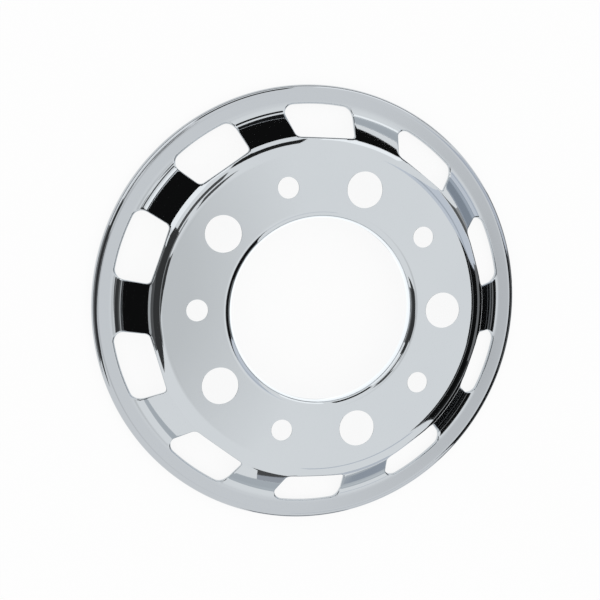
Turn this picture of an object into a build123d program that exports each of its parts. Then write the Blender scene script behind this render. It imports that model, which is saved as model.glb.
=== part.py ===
from build123d import *
from math import acos, ceil, cos, radians, sin, tan
import os

# Truck wheel simulator: a dished cover pressed from one polished sheet, for a 22.5 inch truck wheel.
# Millimetres. +Z is the wheel axis and points out of the show side. The origin is on the axis,
# in the plane of the skirt's back edge, which the cover lies on.

# Sheet, and the most that the flats of a bend stand off its true arc
sheet_thickness = 1.2
bend_sag = 0.5

# Outer flange, which falls towards the wall, with its rolled bead and the skirt behind it
cover_diameter = 594.0
skirt_depth = 14.0
bead_radius = 6.0
flange_width = 26.4
flange_slope_angle = 9.0

# Sloping wall, which starts with a short step and a narrow ledge
step_height = 8.8
step_angle = 40.9
step_foot_radius = 5.0
ledge_width = 5.0
ledge_rise = 2.7
wall_angle = 52.0

# Raised disc, its height measured from the top of the bead
disc_height = 51.5
shoulder_radius = 26.0

# Hub opening, with its edge turned back into the cover
hub_opening_diameter = 243.0
hub_lip_radius = 11.0
hub_lip_depth = 15.0

# Stud holes, wide ones for nuts and narrow ones for studs, by turns on one pitch circle
stud_circle_diameter = 335.0
holes_of_each_size = 5
nut_hole_diameter = 48.0
stud_hole_diameter = 28.0

# Hand holes in the wall, one between each pair of stud holes, with edges turned in to the back
hand_hole_length = 45.7
hand_hole_bite = 0.9
rib_width = 68.0
rib_taper_angle = 3.7
hand_hole_outer_corner = 13.0
hand_hole_inner_corner = 6.5
hand_hole_edge_depth = 4.5

# Places that follow from the sizes above
cover_radius = cover_diameter / 2
hub_radius = hub_opening_diameter / 2
stud_circle_radius = stud_circle_diameter / 2
flange_slope = radians(flange_slope_angle)
flange_corner_level = skirt_depth + bead_radius * (1 / cos(flange_slope) + tan(flange_slope) - 1)
disc_level = skirt_depth + disc_height
step_foot_place = cover_radius - flange_width
step_foot_level = flange_corner_level - flange_width * tan(flange_slope)
ledge_outer_place = step_foot_place - step_height / tan(radians(step_angle))
ledge_outer_level = step_foot_level + step_height
wall_foot_place = ledge_outer_place - ledge_width
wall_foot_level = ledge_outer_level + ledge_rise
wall_run = (disc_level - wall_foot_level) / tan(radians(wall_angle))
shoulder_place = wall_foot_place - wall_run
hand_hole_count = 2 * holes_of_each_size
hand_hole_pitch = 360 / hand_hole_count


def show_side():
    """The show side of the section in the XZ plane, from the skirt's edge to the hub lip's edge."""
    corners = [
        (cover_radius, 0),
        (cover_radius, flange_corner_level),
        (step_foot_place, step_foot_level),
        (ledge_outer_place, ledge_outer_level),
        (wall_foot_place, wall_foot_level),
        (shoulder_place, disc_level),
        (hub_radius, disc_level),
        (hub_radius, disc_level - hub_lip_depth),
    ]
    bends = [bead_radius, step_foot_radius, 0, 0, shoulder_radius, hub_lip_radius]
    with BuildLine() as line:
        FilletPolyline(*corners, radius=bends)
    return line.wires()[0]


def flat_corners(wire):
    """The corners of a wire whose every arc is drawn as equal flats, near enough to the arc."""
    corners = []
    for edge in wire.order_edges():
        flats = 1
        if edge.geom_type == GeomType.CIRCLE:
            flat_turn = 2 * acos(1 - bend_sag / edge.radius)
            flats = ceil(edge.length / edge.radius / flat_turn)
        corners += [edge @ (flat / flats) for flat in range(flats)]
    return corners


def section_face(corners):
    """The face in the XZ plane that these corners enclose."""
    with BuildSketch(Plane.XZ) as section:
        with BuildLine():
            Polyline(*corners, close=True)
        make_face()
    return section.sketch


def sheet_section():
    """The section of the sheet."""
    return section_face(flat_corners(show_side().offset_2d(sheet_thickness, side=Side.LEFT)))


def turned_edge_section():
    """The section that the turned edges of the hand holes have, from inside the sheet to their rims."""
    wall = [
        corner
        for corner in flat_corners(show_side())
        if hub_radius + hub_lip_radius < corner.X < cover_radius - bead_radius
    ]
    top = [corner - (0, sheet_thickness / 2) for corner in wall]
    rim = [corner - (0, hand_hole_edge_depth) for corner in reversed(wall)]
    return section_face(top + rim)


def hand_hole_outline():
    """The hand hole about the X axis: an arc outside, a straight edge inside, ribs at the sides."""
    outer_edge = step_foot_place + hand_hole_bite
    inner_edge = outer_edge - hand_hole_length
    middle = (outer_edge + inner_edge) / 2
    half_pitch = radians(hand_hole_pitch / 2)
    half_width = (middle * sin(half_pitch) - rib_width / 2) / cos(half_pitch)
    side_slope = tan(half_pitch - radians(rib_taper_angle))
    inner_half_width = half_width - (middle - inner_edge) * side_slope
    outer_half_width = half_width + (outer_edge - middle) * side_slope
    with BuildSketch() as outline:
        with BuildLine():
            Polyline(
                (inner_edge, -inner_half_width),
                (outer_edge, -outer_half_width),
                (outer_edge, outer_half_width),
                (inner_edge, inner_half_width),
                close=True,
            )
        make_face()
        Circle(outer_edge, mode=Mode.INTERSECT)
        corners = outline.vertices().sort_by(Axis.X)
        fillet(corners[:2], hand_hole_inner_corner)
        corners = outline.vertices().sort_by(lambda corner: abs(corner.Y))
        fillet(corners[-2:], hand_hole_outer_corner)
    return outline.sketch


def hand_hole_outlines():
    """The outlines of all the hand holes, in plan."""
    with BuildSketch() as outlines:
        with PolarLocations(0, hand_hole_count, start_angle=hand_hole_pitch / 2):
            add(hand_hole_outline())
    return outlines.sketch


def make_turned_edges():
    """The solid that the hand holes' turned edges and the holes themselves fill together."""
    with BuildPart() as edges:
        add(turned_edge_section())
        revolve(axis=Axis.Z)
        with BuildSketch():
            add(hand_hole_outlines())
            offset(amount=sheet_thickness)
        extrude(amount=disc_level, mode=Mode.INTERSECT)
    return edges.part


def make_cover():
    """The whole cover: the turned sheet with the turned edges, then every hole punched in it."""
    with BuildPart() as cover:
        add(sheet_section())
        revolve(axis=Axis.Z)
        add(make_turned_edges())
        with BuildSketch():
            add(hand_hole_outlines())
            with PolarLocations(stud_circle_radius, holes_of_each_size):
                Circle(nut_hole_diameter / 2)
            with PolarLocations(stud_circle_radius, holes_of_each_size, start_angle=hand_hole_pitch):
                Circle(stud_hole_diameter / 2)
        extrude(amount=disc_level + sheet_thickness, mode=Mode.SUBTRACT)
    return cover.part


os.makedirs("parts", exist_ok=True)
export_step(make_cover(), "parts/wheel_cover.step")
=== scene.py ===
"""A polished truck wheel cover, lying show side up on a pale floor in a studio."""

import logging
from dataclasses import dataclass, field
from enum import Enum
from math import atan2, cos, pi, radians, sin, sqrt, tan

import bmesh
import bpy
from mathutils import Matrix, Vector


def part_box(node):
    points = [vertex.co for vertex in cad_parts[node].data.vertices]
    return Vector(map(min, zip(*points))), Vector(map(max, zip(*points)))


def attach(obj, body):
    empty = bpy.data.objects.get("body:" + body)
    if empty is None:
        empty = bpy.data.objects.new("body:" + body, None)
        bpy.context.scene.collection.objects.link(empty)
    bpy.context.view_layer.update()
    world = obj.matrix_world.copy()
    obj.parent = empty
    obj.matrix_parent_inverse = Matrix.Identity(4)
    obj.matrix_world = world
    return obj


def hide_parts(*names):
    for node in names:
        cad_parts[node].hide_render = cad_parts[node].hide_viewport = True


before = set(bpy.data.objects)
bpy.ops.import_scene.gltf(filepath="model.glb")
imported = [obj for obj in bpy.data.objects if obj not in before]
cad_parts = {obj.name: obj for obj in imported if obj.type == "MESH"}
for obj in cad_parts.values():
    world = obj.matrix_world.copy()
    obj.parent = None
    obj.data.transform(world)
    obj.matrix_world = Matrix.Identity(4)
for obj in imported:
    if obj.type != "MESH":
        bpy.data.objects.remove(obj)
log = logging.getLogger("wheel_cover")

NODE = "wheel_cover"
MM = 0.001
UP = Vector((0.0, 0.0, 1.0))
WHITE = (1.0, 1.0, 1.0, 1.0)
JOIN_DISTANCE = 0.01 * MM
ROUND_SEGMENTS = 96


class Socket:
    """A shader socket, or a plain number, that Python's operators work on."""

    def __init__(self, shader: "Shader", link: object) -> None:
        """Holds one output.

        Args:
            shader: The shader that new Math nodes go into.
            link: The output socket that this stands for.
        """
        self.shader = shader
        self.link = link

    def _math(self, operation: str, *values: object) -> "Socket":
        """Adds one Math node.

        Args:
            operation: The Math node's operation.
            values: Its inputs in order, each a Socket or a number.

        Returns:
            The node's output.
        """
        return self.shader.node("ShaderNodeMath", {"operation": operation}, *values)

    def __add__(self, other: object) -> "Socket":
        """The sum."""
        return self._math("ADD", self, other)

    def __radd__(self, other: object) -> "Socket":
        """The sum, with the number first."""
        return self._math("ADD", other, self)

    def __mul__(self, other: object) -> "Socket":
        """The product."""
        return self._math("MULTIPLY", self, other)

    def __rmul__(self, other: object) -> "Socket":
        """The product, with the number first."""
        return self._math("MULTIPLY", other, self)


class Shader:
    """A node tree that is filled through one general method."""

    def __init__(self, tree: bpy.types.NodeTree) -> None:
        """Empties the tree.

        Args:
            tree: The node tree of a material or a world.
        """
        self.tree = tree
        tree.nodes.clear()

    def node(self, kind: str, settings: dict | None = None, *values: object, **named: object) -> Socket:
        """Adds a node.

        Args:
            kind: The node's type.
            settings: Its own settings, which are set before its inputs.
            values: Inputs in order, each a Socket, a number or a tuple. None leaves an input alone.
            named: Inputs by name, with underscores for spaces.

        Returns:
            The node's first output that is switched on.
        """
        node = self.tree.nodes.new(kind)
        for name, setting in (settings or {}).items():
            setattr(node, name, setting)
        inputs = [entry for entry in node.inputs if entry.enabled]
        for entry, value in zip(inputs, values):
            self._feed(entry, value)
        for name, value in named.items():
            entry = next(each for each in inputs if each.name == name.replace("_", " "))
            self._feed(entry, value)
        outputs = [entry for entry in node.outputs if entry.enabled]
        return Socket(self, outputs[0]) if outputs else Socket(self, None)

    def output(self, socket: Socket, name: str) -> Socket:
        """Another output of the node that a socket comes from.

        Args:
            socket: Any output of that node.
            name: The wanted output's name.

        Returns:
            That output.
        """
        return Socket(self, socket.link.node.outputs[name])

    def _feed(self, entry: bpy.types.NodeSocket, value: object) -> None:
        """Sets or links one input.

        Args:
            entry: The input.
            value: A Socket to link, a plain value to set, or None to leave it alone.
        """
        if isinstance(value, Socket):
            self.tree.links.new(value.link, entry)
        elif value is not None:
            entry.default_value = value


@dataclass(frozen=True)
class PolishedSteel:
    """The mirror finish of the pressed sheet, with the faint haze and waves that polishing leaves, and a
    painted shade that makes the outer flange darker in place of its dimmer reflection.
    """

    slot: str = "polished_sheet"
    colour: tuple[float, float, float] = (0.63, 0.665, 0.69)
    haze_colour: tuple[float, float, float] = (0.6, 0.635, 0.665)
    # Painted shade: the base colour darkens to this colour across the outer flange, standing in for the
    # dimmer reflection there.
    flange_shade_colour: tuple[float, float, float] = (0.53, 0.56, 0.59)
    flange_shade_from: float = 268.0 * MM
    flange_shade_full: float = 276.0 * MM
    smooth_roughness: float = 0.03
    haze_roughness: float = 0.06
    haze_scale: float = 9.0
    haze_detail: float = 3.0
    wave_scale: float = 16.0
    wave_detail: float = 1.0
    wave_height: float = 0.000008

    def material(self) -> bpy.types.Material:
        """Makes the material.

        Returns:
            The finished material.
        """
        material = bpy.data.materials.new(self.slot)
        material.use_nodes = True
        shader = Shader(material.node_tree)
        place = shader.output(shader.node("ShaderNodeTexCoord"), "Object")
        haze = shader.node(
            "ShaderNodeTexNoise", None, Vector=place, Scale=self.haze_scale, Detail=self.haze_detail
        )
        waves = shader.node(
            "ShaderNodeTexNoise", None, Vector=place, Scale=self.wave_scale, Detail=self.wave_detail
        )
        polished = shader.node(
            "ShaderNodeMix", {"data_type": "RGBA"}, haze, (*self.colour, 1.0), (*self.haze_colour, 1.0)
        )
        flat = shader.node("ShaderNodeVectorMath", {"operation": "MULTIPLY"}, place, (1.0, 1.0, 0.0))
        reach = shader.output(shader.node("ShaderNodeVectorMath", {"operation": "LENGTH"}, flat), "Value")
        # Painted shade: the colour darkens with distance from the wheel axis over the outer flange, in
        # place of its dimmer reflection.
        flange_shade = shader.node("ShaderNodeMapRange", None, reach, self.flange_shade_from, self.flange_shade_full)
        colour = shader.node(
            "ShaderNodeMix", {"data_type": "RGBA"}, flange_shade, polished, (*self.flange_shade_colour, 1.0)
        )
        roughness = self.smooth_roughness + haze * (self.haze_roughness - self.smooth_roughness)
        bump = shader.node("ShaderNodeBump", None, Height=waves * self.wave_height, Distance=1.0)
        surface = shader.node(
            "ShaderNodeBsdfPrincipled",
            None,
            Base_Color=colour,
            Metallic=1.0,
            Roughness=roughness,
            Normal=bump,
        )
        shader.node("ShaderNodeOutputMaterial", None, surface)
        return material


class Pen:
    """Draws a chain of edges in a mesh, one run or arc after another."""

    def __init__(self, mesh: bmesh.types.BMesh, start: Vector) -> None:
        """Puts the pen down.

        Args:
            mesh: The mesh that it draws in.
            start: The first point.
        """
        self.mesh = mesh
        self.tip = mesh.verts.new(start)

    def run(self, end: Vector) -> None:
        """Draws a straight edge.

        Args:
            end: Where the edge ends.
        """
        grown = bmesh.ops.extrude_vert_indiv(self.mesh, verts=[self.tip])
        self.tip = grown["verts"][0]
        self.tip.co = end

    def arc(self, centre: Vector, axis: Vector, turn: float, step: float) -> None:
        """Draws an arc from the tip.

        Args:
            centre: The arc's centre.
            axis: The axis that the tip turns about.
            turn: The angle that the tip turns by.
            step: The most that one edge of the arc turns.
        """
        steps = max(2, round(abs(turn) / step))
        grown = bmesh.ops.spin(
            self.mesh, geom=[self.tip], cent=centre, axis=axis, dvec=(0, 0, 0), angle=turn, steps=steps
        )
        self.tip = next(part for part in grown["geom_last"] if isinstance(part, bmesh.types.BMVert))


@dataclass(frozen=True)
class Corner:
    """A corner of the sheet's section: its place, its level and the radius that it is bent to."""

    place: float
    level: float
    bend: float = 0.0

    @property
    def point(self) -> Vector:
        """The corner in the XZ plane."""
        return Vector((self.place, 0.0, self.level))


@dataclass
class BentSheet:
    """The section that the cover's sheet is turned to, with every bend a true arc."""

    radius: float
    disc_level: float
    thickness: float = 1.2 * MM
    skirt_depth: float = 14.0 * MM
    bead_bend: float = 8.0 * MM
    flange_width: float = 32.2 * MM
    flange_slope: float = radians(9.0)
    foot_bend: float = 14.0 * MM
    wall_slope: float = radians(52.0)
    shoulder_bend: float = 26.0 * MM
    hub_radius: float = 121.5 * MM
    lip_bend: float = 11.0 * MM
    lip_depth: float = 15.0 * MM
    hold: float = 1.2 * MM
    shortest_held: float = 4.8 * MM
    bend_step: float = radians(7.0)
    round_steps: int = 360

    @property
    def corners(self) -> list[Corner]:
        """All the corners in order, from the skirt's edge to the hub lip's."""
        rise = self.bead_bend * (1 / cos(self.flange_slope) + tan(self.flange_slope) - 1)
        bead_level = self.skirt_depth + rise
        foot_place = self.radius - self.flange_width
        foot_level = bead_level - self.flange_width * tan(self.flange_slope)
        shoulder_place = foot_place - (self.disc_level - foot_level) / tan(self.wall_slope)
        return [
            Corner(self.radius, 0.0),
            Corner(self.radius, bead_level, self.bead_bend),
            Corner(foot_place, foot_level, self.foot_bend),
            Corner(shoulder_place, self.disc_level, self.shoulder_bend),
            Corner(self.hub_radius, self.disc_level, self.lip_bend),
            Corner(self.hub_radius, self.disc_level - self.lip_depth),
        ]

    def _straight(self, pen: Pen, end: Vector) -> None:
        """Draws a straight run whose ends are held by a close vertex, so that it shades flat.

        Args:
            pen: The pen at the run's start.
            end: The run's end.
        """
        start = pen.tip.co.copy()
        length = (end - start).length
        if length > self.shortest_held:
            pen.run(start.lerp(end, self.hold / length))
            pen.run(end.lerp(start, self.hold / length))
        pen.run(end)

    def draw(self, mesh: bmesh.types.BMesh) -> None:
        """Draws the section in the XZ plane.

        Args:
            mesh: An empty mesh.
        """
        corners = self.corners
        pen = Pen(mesh, corners[0].point)
        for before, corner, after in zip(corners, corners[1:], corners[2:]):
            into = (corner.point - before.point).normalized()
            out = (after.point - corner.point).normalized()
            turn = into.angle(out)
            side = 1.0 if into.cross(out).y > 0 else -1.0
            bend_start = corner.point - into * corner.bend * tan(turn / 2)
            centre = bend_start + Vector((into.z, 0.0, -into.x)) * side * corner.bend
            self._straight(pen, bend_start)
            pen.arc(centre, Vector((0.0, 1.0, 0.0)), side * turn, self.bend_step)
        self._straight(pen, corners[-1].point)

    def turned(self) -> bmesh.types.BMesh:
        """Turns the section about the wheel axis.

        Returns:
            The show side of the whole cover as one open surface, facing outwards.
        """
        mesh = bmesh.new()
        self.draw(mesh)
        bmesh.ops.spin(
            mesh,
            geom=mesh.verts[:] + mesh.edges[:],
            cent=(0, 0, 0),
            axis=UP,
            dvec=(0, 0, 0),
            angle=2 * pi,
            steps=self.round_steps,
            use_merge=True,
        )
        bmesh.ops.remove_doubles(mesh, verts=mesh.verts[:], dist=JOIN_DISTANCE)
        bmesh.ops.recalc_face_normals(mesh, faces=mesh.faces[:])
        if max(mesh.faces, key=lambda face: face.calc_center_median().z).normal.z < 0:
            bmesh.ops.reverse_faces(mesh, faces=mesh.faces[:])
        return mesh


@dataclass
class HandHole:
    """A hand hole about the X axis: an arc outside, a straight edge inside and a rib on each side."""

    outer_edge: float
    count: int = 10
    length: float = 45.7 * MM
    rib_width: float = 68.0 * MM
    rib_taper: float = radians(3.7)
    outer_corner: float = 13.0 * MM
    inner_corner: float = 6.5 * MM
    corner_step: float = radians(9.0)
    edge_step: float = radians(1.0)

    def draw(self, mesh: bmesh.types.BMesh, grown: float) -> None:
        """Draws the outline and fills it.

        Args:
            mesh: The mesh to draw in.
            grown: How far the outline lies outside the clear opening.
        """
        half_pitch = pi / self.count
        slope = half_pitch - self.rib_taper
        middle = self.outer_edge - self.length / 2
        half_width = (middle * sin(half_pitch) - self.rib_width / 2) / cos(half_pitch)
        offset = half_width - middle * tan(slope) + grown / cos(slope)
        outer = self.outer_edge + grown
        inner = self.outer_edge - self.length - grown
        outer_round = self.outer_corner + grown
        inner_round = self.inner_corner + grown
        lowered = offset - outer_round / cos(slope)
        reach = outer - outer_round
        run = -lowered * tan(slope) + sqrt(reach**2 * (1 + tan(slope) ** 2) - lowered**2)
        outer_place = run / (1 + tan(slope) ** 2)
        outer_centre = Vector((outer_place, lowered + outer_place * tan(slope), 0.0))
        inner_place = inner + inner_round
        inner_centre = Vector(
            (inner_place, offset - inner_round / cos(slope) + inner_place * tan(slope), 0.0)
        )
        side = Vector((-sin(slope), cos(slope), 0.0))
        mirror = Vector((1.0, -1.0, 1.0))
        start = atan2(outer_centre.y, outer_centre.x)
        pen = Pen(mesh, Vector((outer * cos(start), -outer * sin(start), 0.0)))
        pen.arc(Vector(), UP, 2 * start, self.edge_step)
        pen.arc(outer_centre, UP, pi / 2 + slope - start, self.corner_step)
        pen.run(inner_centre + side * inner_round)
        pen.arc(inner_centre, UP, pi / 2 - slope, self.corner_step)
        pen.run(Vector((inner, -inner_centre.y, 0.0)))
        pen.arc(inner_centre * mirror, UP, pi / 2 - slope, self.corner_step)
        pen.run((outer_centre + side * outer_round) * mirror)
        pen.arc(outer_centre * mirror, UP, pi / 2 + slope - start, self.corner_step)
        bmesh.ops.remove_doubles(mesh, verts=mesh.verts[:], dist=JOIN_DISTANCE)
        bmesh.ops.contextual_create(mesh, geom=mesh.edges[:])


class StudHoleKind(Enum):
    """The two kinds of hole on the stud circle, by the radius of each."""

    NUT = 24.0 * MM
    STUD = 14.0 * MM


@dataclass
class WheelCover:
    """The cover: a bent sheet with hand holes, whose edges are turned in, and stud holes."""

    sheet: BentSheet
    finish: PolishedSteel = field(default_factory=PolishedSteel)
    stud_circle: float = 167.5 * MM
    holes_of_each_kind: int = 5
    hand_hole_inset: float = 25.5 * MM
    turned_edge: float = 2.6 * MM
    turned_depth: float = 3.0 * MM
    turned_end: float = 1.5 * MM
    punched_edge: float = 0.4 * MM
    punch_start: float = -1.0 * MM
    punch_length_past_disc: float = 4.0 * MM
    weld_distance: float = 0.05 * MM
    edge_steps: int = 5
    upright: float = 0.1
    shortest_rim_edge: float = 0.5 * MM
    sharp_angle: float = radians(40.0)

    @property
    def hand_hole(self) -> HandHole:
        """The hand hole, whose outer edge lies in the foot of the wall."""
        return HandHole(self.sheet.radius - self.hand_hole_inset, 2 * self.holes_of_each_kind)

    def _copies(self, mesh: bmesh.types.BMesh, count: int) -> None:
        """Copies all of a mesh round the wheel axis.

        Args:
            mesh: The mesh, which holds one of the pieces.
            count: How many pieces there are in the full turn.
        """
        bmesh.ops.spin(
            mesh,
            geom=mesh.verts[:] + mesh.edges[:] + mesh.faces[:],
            cent=(0, 0, 0),
            axis=UP,
            dvec=(0, 0, 0),
            angle=2 * pi * (count - 1) / count,
            steps=count - 1,
            use_duplicate=True,
        )

    def _punch(self, outline: bmesh.types.BMesh, count: int, turn: float) -> bpy.types.Object:
        """Makes the solid punches for one kind of hole.

        Args:
            outline: A mesh that holds one filled outline at level 0. It is freed.
            count: How many of the holes there are.
            turn: The azimuth of the first hole.

        Returns:
            An object that holds all of these punches.
        """
        bmesh.ops.translate(outline, verts=outline.verts[:], vec=UP * self.punch_start)
        grown = bmesh.ops.extrude_face_region(outline, geom=outline.faces[:])
        top = [part for part in grown["geom"] if isinstance(part, bmesh.types.BMVert)]
        length = self.sheet.disc_level + self.punch_length_past_disc
        bmesh.ops.translate(outline, verts=top, vec=UP * length)
        bmesh.ops.rotate(
            outline, verts=outline.verts[:], cent=(0, 0, 0), matrix=Matrix.Rotation(turn, 3, "Z")
        )
        self._copies(outline, count)
        bmesh.ops.recalc_face_normals(outline, faces=outline.faces[:])
        return make_object("punch", outline)

    def _punches(self) -> list[bpy.types.Object]:
        """Makes the punches of every hole, each grown by the edge that is turned in or rounded.

        Returns:
            The punches.
        """
        pitch = pi / self.holes_of_each_kind
        hand = bmesh.new()
        self.hand_hole.draw(hand, self.turned_edge)
        punches = [self._punch(hand, 2 * self.holes_of_each_kind, pitch / 2)]
        for kind, turn in ((StudHoleKind.NUT, 0.0), (StudHoleKind.STUD, pitch)):
            disc = bmesh.new()
            bmesh.ops.create_circle(
                disc,
                cap_ends=True,
                segments=ROUND_SEGMENTS,
                radius=kind.value + self.punched_edge,
                matrix=Matrix.Translation((self.stud_circle, 0, 0)),
            )
            punches.append(self._punch(disc, self.holes_of_each_kind, turn))
        return punches

    def _cut(self, cover: bpy.types.Object) -> None:
        """Cuts every hole in the sheet.

        Args:
            cover: The uncut sheet, which is changed.
        """
        for punch in self._punches():
            cutter = cover.modifiers.new("cut", "BOOLEAN")
            cutter.operation = "DIFFERENCE"
            cutter.solver = "EXACT"
            cutter.object = punch
            apply_modifiers(cover)
            bpy.data.objects.remove(punch)

    def _between_rims(self, place: Vector) -> bool:
        """Tells whether a point lies between the hub lip and the bead, where the holes are."""
        sheet = self.sheet
        return sheet.hub_radius + sheet.lip_bend < place.xy.length < sheet.radius - sheet.bead_bend

    def _clear_punches(self, mesh: bmesh.types.BMesh) -> None:
        """Deletes the walls and floors that the punches leave in the open sheet.

        Args:
            mesh: The cut sheet, whose own faces there are all far less upright.
        """
        left = [
            face
            for face in mesh.faces
            if self._between_rims(face.calc_center_median())
            and (abs(face.normal.z) < self.upright or face.calc_center_median().z < 0)
        ]
        bmesh.ops.delete(mesh, geom=left, context="FACES")

    def _turn_edges(self, mesh: bmesh.types.BMesh) -> None:
        """Turns in the edge of each hand hole and rounds the edge of each stud hole.

        Args:
            mesh: The cut sheet.
        """
        rim = [vertex for vertex in mesh.verts if vertex.is_boundary and self._between_rims(vertex.co)]
        bmesh.ops.remove_doubles(mesh, verts=rim, dist=self.shortest_rim_edge)
        mesh.normal_update()
        rim = [edge for edge in mesh.edges if edge.is_boundary and self._between_rims(edge.verts[0].co)]
        stud_reach = self.stud_circle + StudHoleKind.NUT.value
        hand_reach = self.hand_hole.outer_edge - self.hand_hole.length
        hand = [edge for edge in rim if edge.verts[0].co.xy.length > (stud_reach + hand_reach) / 2]
        stud = [edge for edge in rim if edge not in set(hand)]
        for edges, reach, drop, end in (
            (hand, self.turned_edge, self.turned_depth, self.turned_end),
            (stud, self.punched_edge, self.punched_edge, 0.0),
        ):
            self._turn_edge(mesh, edges, reach, drop, end)

    def _evened(
        self, edges: list[bmesh.types.BMEdge], directions: dict[bmesh.types.BMVert, Vector]
    ) -> dict[bmesh.types.BMVert, Vector]:
        """Evens out directions along a rim.

        Args:
            edges: The rim's edges.
            directions: A direction at each of its vertices, of any length.

        Returns:
            The mean direction of each vertex and its two neighbours, of length 1.
        """
        evened = {vertex: 2 * direction.normalized() for vertex, direction in directions.items()}
        for edge in edges:
            first, last = edge.verts
            evened[first] += directions[last].normalized()
            evened[last] += directions[first].normalized()
        return {vertex: direction.normalized() for vertex, direction in evened.items()}

    def _turn_edge(
        self,
        mesh: bmesh.types.BMesh,
        edges: list[bmesh.types.BMEdge],
        reach: float,
        drop: float,
        end: float,
    ) -> None:
        """Bends the open edges of holes inwards and down.

        Args:
            mesh: The cut sheet.
            edges: The open edges of the holes.
            reach: How far the bend reaches into the hole.
            drop: How far the bend goes down past the level that the sheet would have there.
            end: The length of the straight end below the bend.
        """
        inwards: dict[bmesh.types.BMVert, Vector] = {}
        for edge in edges:
            loop = edge.link_loops[0]
            along = loop.link_loop_next.vert.co - loop.vert.co
            for vertex in edge.verts:
                inwards[vertex] = inwards.get(vertex, Vector()) + along.cross(UP)
        inwards = self._evened(edges, self._evened(edges, inwards))
        chain = {}
        for vertex, inward in inwards.items():
            slope = vertex.normal.dot(inward) / vertex.normal.z
            start = vertex.co.copy()
            ridge = start + inward * reach - UP * slope * reach
            chain[vertex] = (start, ridge, ridge - UP * drop)
        tips = {vertex: vertex for vertex in chain}
        for step in range(1, self.edge_steps + 2):
            grown = bmesh.ops.extrude_edge_only(mesh, edges=edges)
            edges = [
                part
                for part in grown["geom"]
                if isinstance(part, bmesh.types.BMEdge) and part.is_boundary
            ]
            fresh = {vertex for edge in edges for vertex in edge.verts}
            moved = {}
            for origin, tip in tips.items():
                new_tip = next(
                    edge.other_vert(tip) for edge in tip.link_edges if edge.other_vert(tip) in fresh
                )
                start, ridge, last = chain[origin]
                share = min(step / self.edge_steps, 1.0)
                bent = start.lerp(ridge, share).lerp(ridge.lerp(last, share), share)
                new_tip.co = bent if step <= self.edge_steps else last - UP * end
                moved[origin] = new_tip
            tips = moved
            if step == self.edge_steps and not end:
                break

    def build(self) -> bpy.types.Object:
        """Makes the cover.

        Returns:
            The finished piece.
        """
        cover = make_object("cover_sheet", self.sheet.turned())
        self._cut(cover)
        mesh = bmesh.new()
        mesh.from_mesh(cover.data)
        bmesh.ops.remove_doubles(mesh, verts=mesh.verts[:], dist=self.weld_distance)
        bmesh.ops.dissolve_degenerate(mesh, edges=mesh.edges[:], dist=self.weld_distance)
        mesh.normal_update()
        self._clear_punches(mesh)
        mesh.normal_update()
        self._turn_edges(mesh)
        bmesh.ops.triangulate(mesh, faces=[face for face in mesh.faces if len(face.verts) > 4])
        mesh.to_mesh(cover.data)
        mesh.free()
        wall = cover.modifiers.new("thickness", "SOLIDIFY")
        wall.thickness = self.sheet.thickness
        wall.offset = -1.0
        apply_modifiers(cover)
        cover.data.shade_smooth()
        cover.data.set_sharp_from_angle(angle=self.sharp_angle)
        flats = cover.modifiers.new("flats_shade_flat", "WEIGHTED_NORMAL")
        flats.mode = "FACE_AREA"
        flats.keep_sharp = True
        apply_modifiers(cover)
        return cover

    def dress(self, cover: bpy.types.Object) -> None:
        """Gives the cover its finish and its place in the frame.

        Args:
            cover: The finished piece.
        """
        cover.data.materials.clear()
        cover.data.materials.append(self.finish.material())
        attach(cover, "root")
        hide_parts(NODE)


def make_object(name: str, mesh: bmesh.types.BMesh) -> bpy.types.Object:
    """Makes an object at the origin from a mesh, which is freed.

    Args:
        name: The object's name.
        mesh: Its mesh.

    Returns:
        The object.
    """
    data = bpy.data.meshes.new(name)
    mesh.to_mesh(data)
    mesh.free()
    piece = bpy.data.objects.new(name, data)
    bpy.context.scene.collection.objects.link(piece)
    return piece


def apply_modifiers(piece: bpy.types.Object) -> None:
    """Makes a piece's modifiers part of its mesh.

    Args:
        piece: The piece.
    """
    graph = bpy.context.evaluated_depsgraph_get()
    data = bpy.data.meshes.new_from_object(piece.evaluated_get(graph))
    piece.modifiers.clear()
    old = piece.data
    piece.data = data
    bpy.data.meshes.remove(old)


def hide_but_from_polish(card: bpy.types.Object) -> None:
    """Leaves a piece of the studio visible to glossy rays alone.

    Args:
        card: The piece.
    """
    card.visible_camera = False
    card.visible_diffuse = False
    card.visible_transmission = False
    card.visible_shadow = False


@dataclass(frozen=True)
class Card:
    """A studio card, bent round the cover, that only the polish sees. Angles are in degrees."""

    name: str
    start: float
    end: float
    level: float
    tint: tuple[float, float, float] = (1.0, 1.0, 1.0)
    turn_step: float = 2.0

    def edge(self) -> tuple[Vector, Vector]:
        """The two ends of the card's side, in the XZ plane."""
        raise NotImplementedError

    def build(self) -> None:
        """Makes the card and hides it from all but glossy rays."""
        mesh = bmesh.new()
        low, high = self.edge()
        Pen(mesh, low).run(high)
        bmesh.ops.rotate(
            mesh, verts=mesh.verts[:], cent=(0, 0, 0), matrix=Matrix.Rotation(radians(self.start), 3, "Z")
        )
        bmesh.ops.spin(
            mesh,
            geom=mesh.verts[:] + mesh.edges[:],
            cent=(0, 0, 0),
            axis=UP,
            dvec=(0, 0, 0),
            angle=radians(self.end - self.start),
            steps=max(2, round((self.end - self.start) / self.turn_step)),
        )
        card = make_object(self.name, mesh)
        hide_but_from_polish(card)
        material = bpy.data.materials.new(self.name)
        material.use_nodes = True
        shader = Shader(material.node_tree)
        light = shader.node("ShaderNodeEmission", None, (*self.tint, 1.0), self.level)
        shader.node("ShaderNodeOutputMaterial", None, light)
        card.data.materials.append(material)


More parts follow.
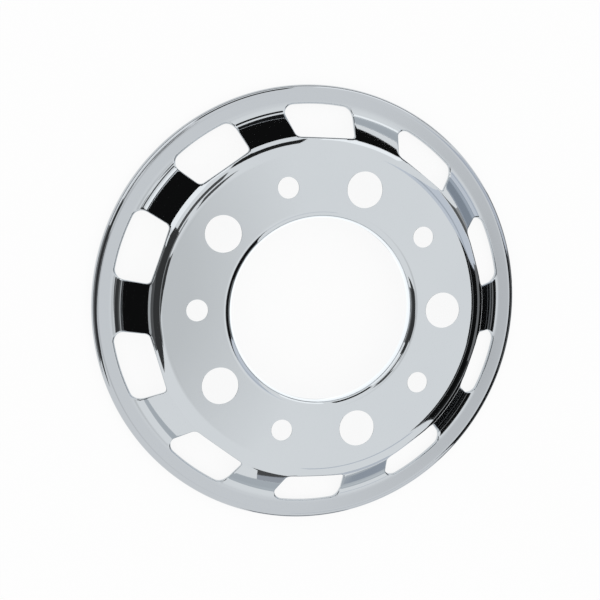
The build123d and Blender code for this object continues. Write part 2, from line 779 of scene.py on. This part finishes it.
@dataclass(frozen=True)
class UprightCard(Card):
    """A card that stands far off, between two elevations as the cover sees them."""

    low: float = 0.0
    high: float = 10.0
    distance: float = 8.0

    def edge(self) -> tuple[Vector, Vector]:
        """The card's lower and upper end."""
        return (
            Vector((self.distance, 0.0, self.distance * tan(radians(self.low)))),
            Vector((self.distance, 0.0, self.distance * tan(radians(self.high)))),
        )


@dataclass(frozen=True)
class FloorCard(Card):
    """A card that lies on the floor, between two distances from the wheel axis."""

    near: float = 0.34
    far: float = 7.9
    lift: float = 0.5 * MM

    def edge(self) -> tuple[Vector, Vector]:
        """The card's near and far end."""
        return Vector((self.near, 0.0, self.lift)), Vector((self.far, 0.0, self.lift))


PALE_BLUE = (0.94, 0.98, 1.06)
STEEL_BLUE = (0.92, 0.98, 1.08)


@dataclass
class Studio:
    """A white floor and a white tent of light, with the cards that the polish mirrors."""

    floor_size: float = 30.0
    floor_colour: tuple[float, float, float] = (0.9, 0.9, 0.9)
    floor_roughness: float = 0.9
    shadow_left: float = 0.12
    sky_level: float = 1.0
    cards: tuple[Card, ...] = (
        UprightCard("right_flag", -38.0, 4.0, 0.006, low=20.0, high=50.5),
        UprightCard("right_flag_gap", -38.0, 4.0, 0.25, low=50.5, high=52.5),
        UprightCard("right_flag_top", -18.0, 4.0, 0.006, low=52.5, high=58.6),
        UprightCard("right_flag_top_lower", -38.0, -18.0, 0.006, low=52.5, high=57.2),
        UprightCard("right_flag_foot", -20.0, 6.0, 0.2, low=-0.5, high=20.0, distance=8.1),
        UprightCard("right_flag_corner", -38.0, -20.0, 0.02, low=6.0, high=20.0, distance=8.1),
        UprightCard("right_flag_line", -38.0, -20.0, 0.35, low=-0.5, high=6.0, distance=8.1),
        FloorCard("right_floor", -48.0, 6.0, 0.006, near=0.322),
        UprightCard("upper_right_top", 4.0, 31.0, 0.82, PALE_BLUE, low=51.5, high=62.0, distance=8.2),
        UprightCard("upper_right_grey", 4.0, 31.0, 0.6, STEEL_BLUE, low=44.0, high=51.5, distance=8.2),
        UprightCard("upper_right_pale", 4.0, 31.0, 0.82, PALE_BLUE, low=3.0, high=44.0, distance=8.2),
        FloorCard("upper_right_near", 6.0, 32.0, 0.4, near=0.305, far=0.345),
        FloorCard("upper_right_floor", 6.0, 32.0, 0.14, near=0.345),
        UprightCard("top_flag", 82.0, 114.0, 0.02, low=18.0, high=39.0),
        UprightCard("top_light", 46.0, 76.0, 1.3, low=4.0, high=26.0),
        UprightCard("left_top_flag", 114.0, 150.0, 0.1, low=46.0, high=60.0),
        UprightCard("left_top_light", 116.0, 152.0, 1.25, low=-0.5, high=27.0),
        UprightCard("left_flag", 150.0, 215.0, 0.05, low=30.0, high=66.0),
        UprightCard("left_flag_top", 140.0, 220.0, 0.3, low=66.0, high=72.0),
        UprightCard("left_near_flag", 166.0, 202.0, 0.05, low=66.0, high=82.0, distance=0.9),
        UprightCard("top_near_flag", 104.0, 128.0, 0.1, low=62.0, high=76.0, distance=0.9),
        UprightCard("left_flag_foot", 160.0, 205.0, 0.12, low=12.0, high=30.0),
        UprightCard("left_flag_line", 160.0, 205.0, 0.5, low=-0.5, high=12.0),
        FloorCard("left_floor", 122.0, 200.0, 0.006, near=0.35),
        FloorCard("top_floor", 84.0, 122.0, 0.006, near=0.344, far=0.7),
        FloorCard("upper_floor", 47.0, 84.0, 0.006, near=0.344, far=2.5),
        FloorCard("bottom_near", -104.0, -77.0, 0.45, PALE_BLUE, near=0.31, far=0.336),
        FloorCard("bottom_floor", -104.0, -77.0, 0.09, near=0.336, far=0.46),
        UprightCard("lower_right_grey", -70.0, -40.0, 0.72, PALE_BLUE, low=48.5, high=53.5),
        FloorCard("hub_light", 0.0, 360.0, 1.45, near=0.002, far=0.11),
        FloorCard("lower_right_floor", -77.0, -48.0, 0.72, PALE_BLUE, near=0.34, far=1.2),
    )
    ceiling: float = 8.0
    ceiling_middle: float = -0.82
    ceiling_radius: float = 2.2
    ceiling_core: float = 1.05
    ceiling_level: float = 0.78

    def _floor(self) -> None:
        """Makes the floor, which shows white and keeps a little of the cover's shadow."""
        bpy.ops.mesh.primitive_plane_add(size=self.floor_size)
        floor = bpy.context.object
        floor.name = "floor"
        material = bpy.data.materials.new("floor")
        material.use_nodes = True
        shader = Shader(material.node_tree)
        rays = shader.node("ShaderNodeLightPath")
        seen = (
            shader.output(rays, "Is Camera Ray")
            + shader.output(rays, "Is Glossy Ray")
            + shader.output(rays, "Is Transmission Ray")
        )
        surface = shader.node(
            "ShaderNodeBsdfPrincipled",
            None,
            Base_Color=(*self.floor_colour, 1.0),
            Roughness=self.floor_roughness,
        )
        white = shader.node("ShaderNodeEmission", None, WHITE, 1.0)
        mixed = shader.node("ShaderNodeMixShader", None, seen * (1.0 - self.shadow_left), surface, white)
        shader.node("ShaderNodeOutputMaterial", None, mixed)
        floor.data.materials.append(material)

    def _sky(self) -> None:
        """Makes the world a plain white tent."""
        world = bpy.data.worlds.new("studio")
        world.use_nodes = True
        bpy.context.scene.world = world
        shader = Shader(world.node_tree)
        light = shader.node("ShaderNodeBackground", None, WHITE, self.sky_level)
        shader.node("ShaderNodeOutputWorld", None, light)

    def _overhead(self) -> None:
        """Makes the round panel overhead, which only the polish sees and which is greyer at its middle."""
        mesh = bmesh.new()
        bmesh.ops.create_circle(
            mesh,
            cap_ends=True,
            segments=ROUND_SEGMENTS,
            radius=self.ceiling_radius,
            matrix=Matrix.Translation((0.0, self.ceiling_middle, self.ceiling)),
        )
        panel = make_object("overhead_panel", mesh)
        hide_but_from_polish(panel)
        material = bpy.data.materials.new("overhead_panel")
        material.use_nodes = True
        shader = Shader(material.node_tree)
        place = shader.output(shader.node("ShaderNodeTexCoord"), "Object")
        middle = (0.0, self.ceiling_middle, self.ceiling)
        reach = shader.output(
            shader.node("ShaderNodeVectorMath", {"operation": "DISTANCE"}, place, middle), "Value"
        )
        level = shader.node(
            "ShaderNodeMapRange",
            None,
            reach,
            self.ceiling_core,
            self.ceiling_radius,
            self.ceiling_level,
            self.sky_level,
        )
        light = shader.node("ShaderNodeEmission", None, WHITE, level)
        shader.node("ShaderNodeOutputMaterial", None, light)
        panel.data.materials.append(material)

    def build(self) -> None:
        """Makes the floor, the world and the cards."""
        self._floor()
        self._sky()
        self._overhead()
        for card in self.cards:
            card.build()


@dataclass(frozen=True)
class Viewpoint:
    """The photograph's camera, in the frame."""

    place: tuple[float, float, float] = (-394.9 * MM, 173.1 * MM, 1465.4 * MM)
    aim: tuple[float, float, float] = (-15.1 * MM, 6.2 * MM, 0.0)
    roll: float = radians(1.70)
    lens: float = 66.74

    def build(self) -> None:
        """Makes the camera and sets it as the scene's own."""
        forward = (Vector(self.aim) - Vector(self.place)).normalized()
        side = forward.cross(Vector((0.0, 1.0, 0.0))).normalized()
        turn = Matrix((side, side.cross(forward), -forward)).transposed().to_4x4()
        camera = bpy.data.objects.new("camera", bpy.data.cameras.new("camera"))
        camera.data.lens = self.lens
        camera.matrix_world = Matrix.Translation(self.place) @ turn @ Matrix.Rotation(self.roll, 4, "Z")
        bpy.context.scene.collection.objects.link(camera)
        bpy.context.scene.camera = camera


def main() -> None:
    """Builds the cover, the studio and the camera."""
    logging.basicConfig(level=logging.INFO)
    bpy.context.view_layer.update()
    _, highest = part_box(NODE)
    cover = WheelCover(BentSheet(radius=highest.x, disc_level=highest.z))
    piece = cover.build()
    cover.dress(piece)
    log.info("%s: %d faces", piece.name, len(piece.data.polygons))
    Studio().build()
    Viewpoint().build()
    bpy.context.scene.view_settings.view_transform = "Standard"


if __name__ == "__main__":
    main()
